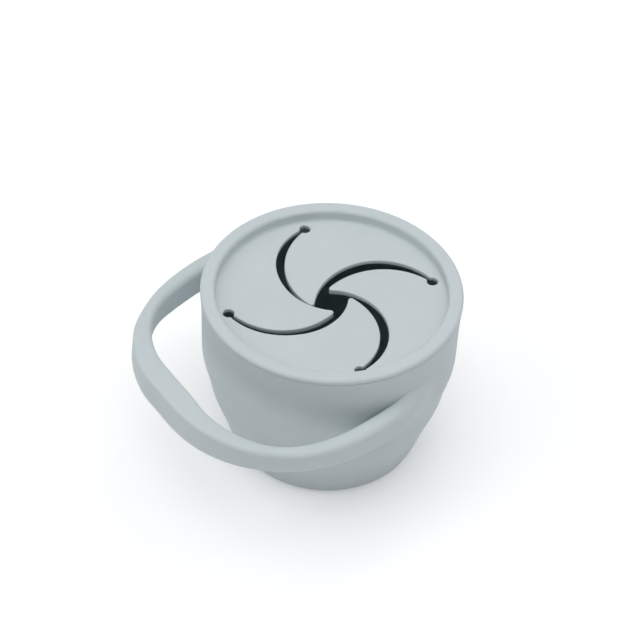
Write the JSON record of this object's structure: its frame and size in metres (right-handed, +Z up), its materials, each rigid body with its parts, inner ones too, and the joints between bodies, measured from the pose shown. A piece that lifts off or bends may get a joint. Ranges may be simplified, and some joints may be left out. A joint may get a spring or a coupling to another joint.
{
  "type": "toddler snack container",
  "caption": "Soft collapsible snack cup with a carrying loop on its sides and a press-in lid cut into curved petals that a small hand pushes through.",
  "frame": {"origin": "centre of the flat base the cup stands on", "axes": "+Z up through the lid, the carrying loop points along -X, +Y to the back side of the loop"},
  "size_m": [0.1207, 0.1098, 0.0715],
  "materials": {
    "cup_silicone": "matte",
    "loop_silicone": "matte",
    "lid_silicone": "matte",
    "petal_silicone": "matte"
  },
  "bodies": {
    "base": {"base_bowl": "cup_silicone", "fold_band": "cup_silicone"},
    "wall": {"cup_wall": "cup_silicone", "loop_root_front": "loop_silicone", "loop_root_back": "loop_silicone"},
    "loop": {"carry_loop": "loop_silicone"},
    "lid": {"lid_ring": "lid_silicone"},
    "petal_1_leaf": {"petal_1": "petal_silicone"},
    "petal_2_leaf": {"petal_2": "petal_silicone"},
    "petal_3_leaf": {"petal_3": "petal_silicone"},
    "petal_4_leaf": {"petal_4": "petal_silicone"}
  },
  "joints": [
    {"name": "collapse", "type": "slide", "parent": "base", "child": "wall", "axis": [0, 0, 1], "range_m": [-0.029, 0], "deforming": ["fold_band"]},
    {"name": "lid_lift", "type": "slide", "parent": "wall", "child": "lid", "axis": [0, 0, 1], "range_m": [0, 0.03]},
    {"name": "loop_swing", "type": "hinge", "parent": "wall", "child": "loop", "pos_m": [-0.009, 0, 0.05], "axis": [0, 1, 0], "range_deg": [-12, 35], "stiffness_Nm_per_rad": 0.5},
    {"name": "petal_1_flex", "type": "hinge", "parent": "lid", "child": "petal_1_leaf", "pos_m": [0.02448, 0.01142, 0.0661], "axis": [-0.4226, 0.9063, 0], "range_deg": [-55, 31], "stiffness_Nm_per_rad": 0.02},
    {"name": "petal_2_flex", "type": "hinge", "parent": "lid", "child": "petal_2_leaf", "pos_m": [-0.01142, 0.02448, 0.0661], "axis": [-0.9063, -0.4226, 0], "range_deg": [-55, 31], "stiffness_Nm_per_rad": 0.02},
    {"name": "petal_3_flex", "type": "hinge", "parent": "lid", "child": "petal_3_leaf", "pos_m": [-0.02448, -0.01142, 0.0661], "axis": [0.4226, -0.9063, 0], "range_deg": [-55, 31], "stiffness_Nm_per_rad": 0.02},
    {"name": "petal_4_flex", "type": "hinge", "parent": "lid", "child": "petal_4_leaf", "pos_m": [0.01142, -0.02448, 0.0661], "axis": [0.9063, 0.4226, 0], "range_deg": [-55, 31], "stiffness_Nm_per_rad": 0.02}
  ]
}
